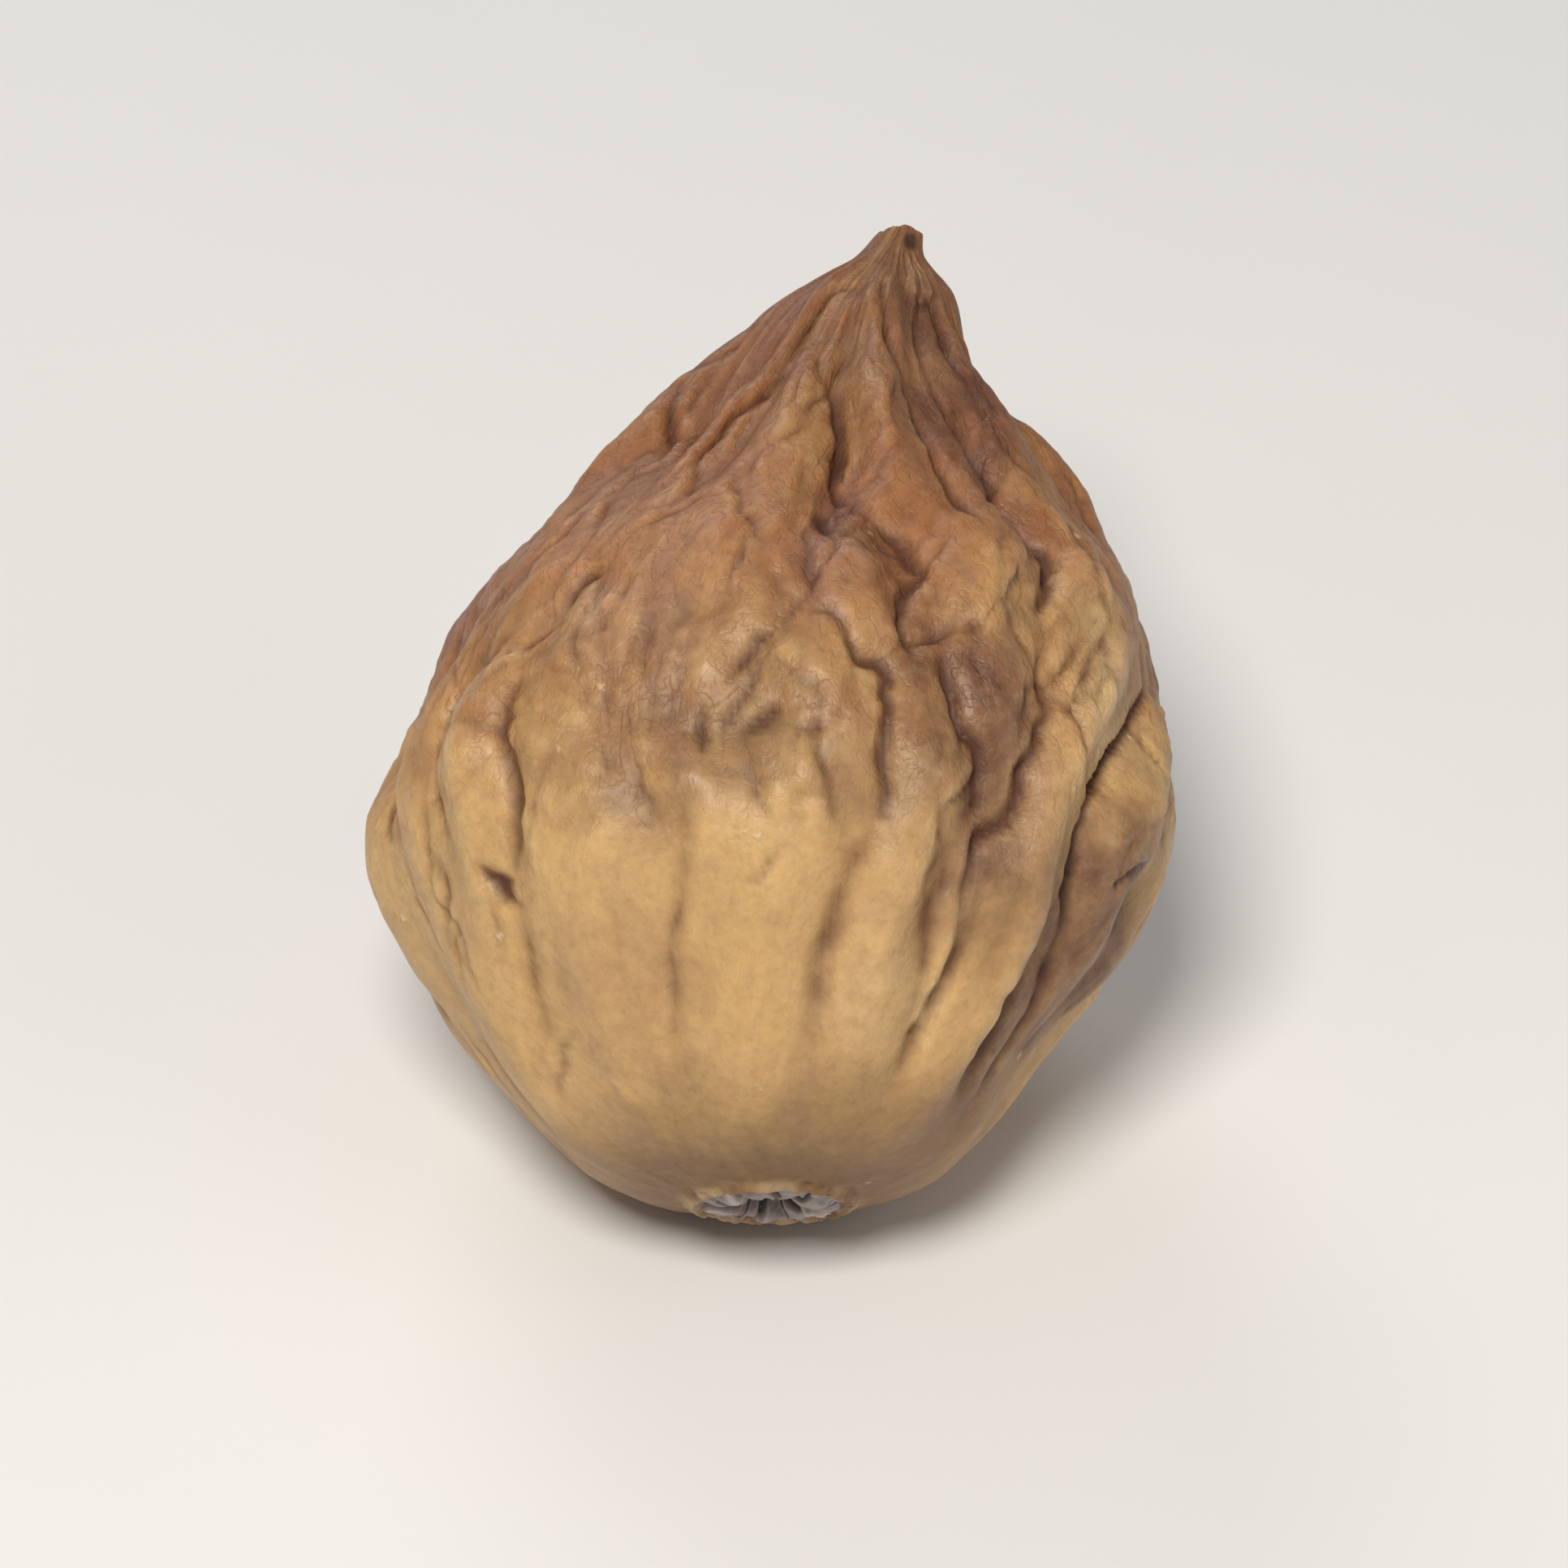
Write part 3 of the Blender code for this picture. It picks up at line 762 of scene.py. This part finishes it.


# Skin material: straw and ochre below, tan to mauve brown on the neck, with painted shade down in the
# folds and painted highlights on their crests

skinLook = {
    # Round the eye: the skin's own grey brown, darker still as painted shade under the fruit
    "eyeEndToneAndShade": (0.20, 0.106, 0.036),
    "belly": (0.53, 0.328, 0.135),
    "flank": (0.43, 0.230, 0.086),
    "shoulder": (0.36, 0.158, 0.058),
    "neck": (0.29, 0.115, 0.043),
    "stalk": (0.25, 0.105, 0.040),
    "brown": (0.130, 0.050, 0.027),
    "pale": (0.60, 0.41, 0.20),
    "sugar": (0.72, 0.54, 0.34),
    "mauve": (0.225, 0.110, 0.080),
    "ochre": (0.43, 0.240, 0.092),
    "bloom": (0.62, 0.47, 0.31),
    "mottle": (0.30, 0.120, 0.045),
    "crease": (0.075, 0.024, 0.011),
    "scale": (0.34, 0.28, 0.27),
    "scaleEdge": (0.62, 0.55, 0.51),
    "scaleFleck": 0.62,               # how bright the scales' darker flecks are
    "ring": (0.46, 0.33, 0.19),
    # Near-black painted shade in the gaps between the scales and in the pit
    "gap": (0.010, 0.006, 0.005),
    "cut": (0.06, 0.026, 0.014),
    # What the colour is multiplied by: down in a fine wrinkle, down in a fold as painted shade, and on top
    # of one as a painted highlight
    "inLine": (0.62, 0.50, 0.44),
    "foldShade": (0.36, 0.25, 0.23),
    "crestHighlight": (1.22, 1.25, 1.25),
    "speckles": [(0.30, (0.60, 0.52, 0.44)), (0.50, (1.0, 1.0, 1.0)), (0.72, (1.35, 1.30, 1.2))],
    # The broad colours, from 0 at the eye to 1 at the stalk
    "bands": [(0.10, "eyeEndToneAndShade"), (0.23, "belly"), (0.46, "belly"), (0.55, "flank"), (0.66, "shoulder"),
              (0.80, "neck"), (0.98, "stalk")],
}

# How strongly each colour or shade shows
skinShare = {
    "brown": 0.75,
    "pale": 0.80,
    "mottle": 0.70,
    "hollow": 0.85,
    "net": 0.35,
    "crest": 0.80,
    "dust": 0.30,
    "lines": 0.30,
    "speckle": 0.30,
    "crease": 0.92,
    "sugar": 0.45,
    "scaleEdge": 0.80,
    "ring": 0.60,
}

# Noises of the colours and the grain: how fine, how many layers, and how rough
skinNoise = {
    "patches": (260, 4, 0.55),
    "blotches": (650, 5, 0.6),
    "tints": (0.22, 4, 0.6),
    "mottle": (1000, 6, 0.65),
    "dust": (2200, 5, 0.7),
    "broken": (900, 3, 0.55),
    "speckle": (3000, 4, 0.7),
    "sugarEdge": (6000, 2, 0.55),
    "fleck": (2600, 4, 0.6),
    "fine": (4200, 5, 0.65),
    "broad": (1100, 4, 0.6),
}

# Thin wrinkles: how many, and how wide
skinLines = {
    "long": (0.45, 0.030),
    "short": (1.10, 0.045),
    "crossed": (1300, 0.040),
}

skinSurface = {
    "roughness": (0.40, 0.55),
    "hollowRoughness": 0.20,          # added down in the folds
    "crestRoughness": -0.08,          # and on top of them
    "bumpStrength": 0.75,
    "bumpHeight": 0.10,
    "fineBump": 0.40,
    "broadBump": 0.70,
    "lineBump": -0.38,
    "sugarBump": 0.5,
    "sugarScale": 640,
    "glow": 0.16,                     # share of the light that goes through the skin
    "glowColour": (1.0, 0.42, 0.16),
    "glowDepth": 0.9,
    "specular": 0.38,
}


class Wiring:
    # Short words for building a material's nodes
    def __init__(self, name):
        self.material = bpy.data.materials.new(name)
        self.material.use_nodes = True
        self.tree = self.material.node_tree
        self.shader = self.tree.nodes["Principled BSDF"]

    def add(self, kind, inputs=None, **settings):
        node = self.tree.nodes.new("ShaderNode" + kind)
        for key, value in settings.items():
            setattr(node, key, value)
        for key, value in (inputs or {}).items():
            self.feed(node.inputs[key], value)
        return node

    def feed(self, socket, value):
        if isinstance(value, bpy.types.NodeSocket):
            self.tree.links.new(value, socket)
        else:
            socket.default_value = value

    def mark(self, name):
        return self.add("Attribute", attribute_name=name).outputs["Fac"]

    def math(self, operation, first, second=0.0, third=0.0):
        node = self.add("Math", {0: first, 1: second, 2: third}, operation=operation)
        return node.outputs[0]

    def times(self, first, second):
        return self.math("MULTIPLY", first, second)

    def timesPlus(self, first, second, third):
        return self.math("MULTIPLY_ADD", first, second, third)

    def mix(self, share, first, second, blend="MIX"):
        node = self.add("Mix", data_type="RGBA", blend_type=blend)
        self.feed(node.inputs["Factor"], share)
        for socket, value in ((node.inputs[6], first), (node.inputs[7], second)):
            self.feed(socket, value if isinstance(value, bpy.types.NodeSocket) else (*value, 1.0))
        return node.outputs[2]

    def shaded(self, colour, shade):
        return self.mix(1.0, colour, shade, "MULTIPLY")

    def spread(self, value, low, high, toLow=0.0, toHigh=1.0):
        node = self.add("MapRange", {"Value": value, "From Min": low, "From Max": high,
                                     "To Min": toLow, "To Max": toHigh})
        return node.outputs[0]

    def noise(self, where, scale, detail, roughness, distortion=0.0):
        node = self.add("TexNoise", {"Vector": where, "Scale": scale, "Detail": detail,
                                     "Roughness": roughness, "Distortion": distortion})
        return node.outputs["Fac"]

    def lines(self, where, scale, width):
        # Thin wandering lines, where a noise passes through its middle value
        apart = self.math("ABSOLUTE", self.math("SUBTRACT", self.noise(where, scale, 3, 0.5, 0.4), 0.5))
        return self.spread(apart, 0.0, width, 1.0, 0.0)

    def ramp(self, value, stops):
        node = self.add("ValToRGB", {"Fac": value})
        bar = node.color_ramp
        while len(bar.elements) < len(stops):
            bar.elements.new(0.5)
        for element, (place, colour) in zip(bar.elements, stops):
            element.position = place
            element.color = (*colour, 1.0)
        return node.outputs["Color"]


def skinMaterial():
    look, share, finish = skinLook, skinShare, skinSurface
    wire = Wiring("driedSkin")
    here = wire.add("TexCoord").outputs["Object"]
    tilt = (math.radians(fruit["lean"]), 0, 0)
    upright = wire.add("Mapping", {"Vector": here, "Rotation": tilt}).outputs[0]
    drawnOut = wire.add("Mapping", {"Vector": upright, "Scale": (1.0, 1.0, 0.7)}).outputs[0]
    ribs = wire.add("Attribute", attribute_name="ribs").outputs["Vector"]
    rise, hollow, crest = (wire.mark(name) for name in ("rise", "hollow", "crest"))

    # Broad colour, from the eye up to the stalk, with uneven borders that are softer near the eye
    blotches = wire.noise(upright, *skinNoise["blotches"])
    patches = wire.noise(upright, *skinNoise["patches"])
    uneven = wire.math("ADD", wire.spread(patches, 0.3, 0.7, -0.07, 0.07),
                       wire.spread(blotches, 0.3, 0.7, -0.025, 0.025))
    uneven = wire.times(uneven, wire.spread(rise, 0.12, 0.42, 0.30, 1.0))
    bands = [(place, look[name]) for place, name in look["bands"]]
    colour = wire.ramp(wire.math("ADD", rise, uneven), bands)

    # Tints on the upper half, then stains with patches of painted shade and painted highlight, then
    # mottling
    upper = wire.spread(rise, 0.42, 0.60, 0.22, 0.60)
    tints = wire.noise(ribs, *skinNoise["tints"])
    colour = wire.mix(wire.times(wire.spread(tints, 0.50, 0.62), upper), colour, look["mauve"])
    colour = wire.mix(wire.times(wire.spread(tints, 0.48, 0.36), upper), colour, look["ochre"])
    border = wire.math("ADD", 1.0, wire.spread(blotches, 0.3, 0.7, -0.35, 0.35))
    # Brown: stains and some painted shade; pale: pale skin and some painted highlights
    for name in ("brown", "pale"):
        stainAndLight = wire.times(wire.mark(name), border)
        colour = wire.mix(wire.times(stainAndLight, share[name]), colour, look[name])
    mottle = wire.times(wire.spread(wire.noise(upright, *skinNoise["mottle"]), 0.50, 0.68), upper)
    colour = wire.mix(wire.times(mottle, share["mottle"]), colour, look["mottle"])

    # Painted shade down in the folds and the net, a painted highlight and dust on top
    foldShaded = wire.shaded(colour, look["foldShade"])
    colour = wire.mix(wire.times(hollow, share["hollow"]), colour, foldShaded)
    colour = wire.mix(wire.times(wire.mark("net"), share["net"]), colour, foldShaded)
    # Lighter on top of the folds: a painted highlight
    colour = wire.mix(wire.times(crest, share["crest"]), colour, wire.shaded(colour, look["crestHighlight"]))
    dust = wire.times(wire.spread(wire.noise(upright, *skinNoise["dust"]), 0.45, 0.75), crest)
    colour = wire.mix(wire.times(dust, share["dust"]), colour, look["bloom"])

    # Fine wrinkles: long ones up and down the fruit, shorter ones between them, and a net over all
    broken = wire.spread(wire.noise(upright, *skinNoise["broken"]), 0.42, 0.60)
    long = wire.times(wire.lines(ribs, *skinLines["long"]), broken)
    short = wire.times(wire.lines(ribs, *skinLines["short"]), wire.math("SUBTRACT", 1.0, broken))
    crossed = wire.lines(upright, *skinLines["crossed"])
    lines = wire.math("ADD", long, wire.timesPlus(short, 0.5, wire.times(crossed, 0.5)))
    lines = wire.times(lines, wire.spread(rise, 0.36, 0.55, 0.30, 1.0))
    colour = wire.mix(wire.times(lines, share["lines"]), colour, wire.shaded(colour, look["inLine"]))
    speckle = wire.ramp(wire.noise(drawnOut, *skinNoise["speckle"]), look["speckles"])
    colour = wire.mix(share["speckle"], colour, wire.shaded(colour, speckle))
    colour = wire.mix(wire.times(wire.mark("crease"), share["crease"]), colour, look["crease"])

    # A few specks of dried sugar
    specks = wire.add("TexVoronoi", {"Vector": upright, "Scale": finish["sugarScale"], "Randomness": 1.0})
    lottery = wire.add("SeparateColor", {"Color": specks.outputs["Color"]}).outputs[0]    # picks a few
    ragged = wire.noise(upright, *skinNoise["sugarEdge"])
    speckEdge = wire.timesPlus(ragged, 0.16, specks.outputs["Distance"])
    sugar = wire.times(wire.spread(speckEdge, 0.12, 0.19, 1.0, 0.0), wire.spread(lottery, 0.70, 0.75))
    colour = wire.mix(wire.times(sugar, share["sugar"]), colour, look["sugar"])

    # Eye and stalk
    fleck = wire.spread(wire.noise(upright, *skinNoise["fleck"]), 0.35, 0.70)
    scale = wire.mix(fleck, look["scale"], tuple(look["scaleFleck"] * part for part in look["scale"]))
    scale = wire.mix(wire.times(wire.mark("scaleEdge"), share["scaleEdge"]), scale, look["scaleEdge"])
    colour = wire.mix(wire.mark("scales"), colour, scale)
    colour = wire.mix(wire.times(wire.mark("ring"), share["ring"]), colour, look["ring"])
    # The gaps and the pit painted near-black as shade, the stalk's cut in its own dark brown
    for name in ("gap", "cut"):
        colour = wire.mix(wire.mark(name), colour, look[name])

    broad = wire.noise(upright, *skinNoise["broad"])
    height = wire.timesPlus(wire.noise(drawnOut, *skinNoise["fine"]), finish["fineBump"],
                            wire.times(broad, finish["broadBump"]))
    height = wire.timesPlus(lines, finish["lineBump"], height)
    height = wire.timesPlus(sugar, finish["sugarBump"], height)
    bump = wire.add("Bump", {"Strength": finish["bumpStrength"], "Distance": finish["bumpHeight"] * mm,
                             "Height": height})
    rough = wire.spread(broad, 0.3, 0.7, *finish["roughness"])
    rough = wire.timesPlus(hollow, finish["hollowRoughness"], rough)
    rough = wire.timesPlus(crest, finish["crestRoughness"], rough)

    shader = wire.shader.inputs
    wire.feed(shader["Base Color"], colour)
    wire.feed(shader["Roughness"], rough)
    wire.feed(shader["Normal"], bump.outputs[0])
    shader["Subsurface Weight"].default_value = finish["glow"]
    shader["Subsurface Radius"].default_value = finish["glowColour"]
    shader["Subsurface Scale"].default_value = finish["glowDepth"] * mm
    shader["Specular IOR Level"].default_value = finish["specular"]
    return wire.material


# Table, light and camera

studio = {
    "floor": (0.80, 0.79, 0.77),
    "floorShade": 0.97,               # how bright its darker patches are
    "floorPatches": (60, 3, 0.55),
    "floorRoughness": 0.7,
    "floorSize": 3,                   # metres
    "floorDrop": 0.02,                # how far it lies below the fruit's flat spot
    "sky": (0.93, 0.95, 1.0),
    "skyStrength": 0.20,
    "aim": (0.4, 0.6, 11.3),
    "distance": 330,
    "elevation": 38,
    "lens": 250,
    "clipStart": 10,
}

lamps = {
    "keyLamp": {"place": (-45, -190, 295), "size": 110, "power": 1.10, "colour": (1.0, 0.965, 0.91)},
    "fillLamp": {"place": (240, -120, 170), "size": 220, "power": 0.12, "colour": (1.0, 0.98, 0.95)},
    "backLamp": {"place": (-90, 250, 170), "size": 180, "power": 0.22, "colour": (1.0, 1.0, 1.0)},
}


def aimed(place, target):
    return (Vector(target) - Vector(place)).to_track_quat("-Z", "Y").to_euler()


def setStudio():
    deselectAll()
    bpy.ops.mesh.primitive_plane_add(size=studio["floorSize"], location=(0, 0, -studio["floorDrop"] * mm))
    floor = bpy.context.object
    floor.name = "paleTable"
    bpy.ops.object.transform_apply(location=True, rotation=True, scale=True)
    table = Wiring("paleTable")
    here = table.add("TexCoord").outputs["Object"]
    patches = table.noise(here, *studio["floorPatches"])
    darker = tuple(studio["floorShade"] * part for part in studio["floor"])
    table.feed(table.shader.inputs["Base Color"], table.mix(patches, darker, studio["floor"]))
    table.shader.inputs["Roughness"].default_value = studio["floorRoughness"]
    floor.data.materials.append(table.material)

    world = bpy.data.worlds.new("studioSky")
    world.use_nodes = True
    sky = world.node_tree.nodes["Background"].inputs
    sky["Color"].default_value = (*studio["sky"], 1.0)
    sky["Strength"].default_value = studio["skyStrength"]
    bpy.context.scene.world = world

    middle = Vector(studio["aim"]) * mm
    for name, lamp in lamps.items():
        place = Vector(lamp["place"]) * mm
        bpy.ops.object.light_add(type="AREA", location=place, rotation=aimed(place, middle))
        light = bpy.context.object
        light.name = name
        light.data.shape = "DISK"
        light.data.size = lamp["size"] * mm
        light.data.energy = lamp["power"]
        light.data.color = lamp["colour"]

    climb = math.radians(studio["elevation"])
    away = Vector((0, -math.cos(climb), math.sin(climb))) * studio["distance"] * mm
    bpy.ops.object.camera_add(location=middle + away, rotation=aimed(middle + away, middle))
    camera = bpy.context.object
    camera.data.lens = studio["lens"]
    camera.data.clip_start = studio["clipStart"] * mm
    bpy.context.scene.camera = camera
    bpy.context.scene.view_settings.view_transform = "Standard"
    print("studio: table, sky,", len(lamps), "lamps and camera")


setStudio()
figSkin = fineCopy()
figEdges, figSurface = shapeSkin(figSkin.data)
shapeEye(figSkin.data, figSurface)
shapeStalk(figSkin.data, figSurface)
keepInBox(figSkin.data)
markSkin(figSkin.data, figEdges, figSurface)
figSkin.data.materials.clear()
figSkin.data.materials.append(skinMaterial())
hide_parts("fig")
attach(figSkin, "root")
print("fig: finished")
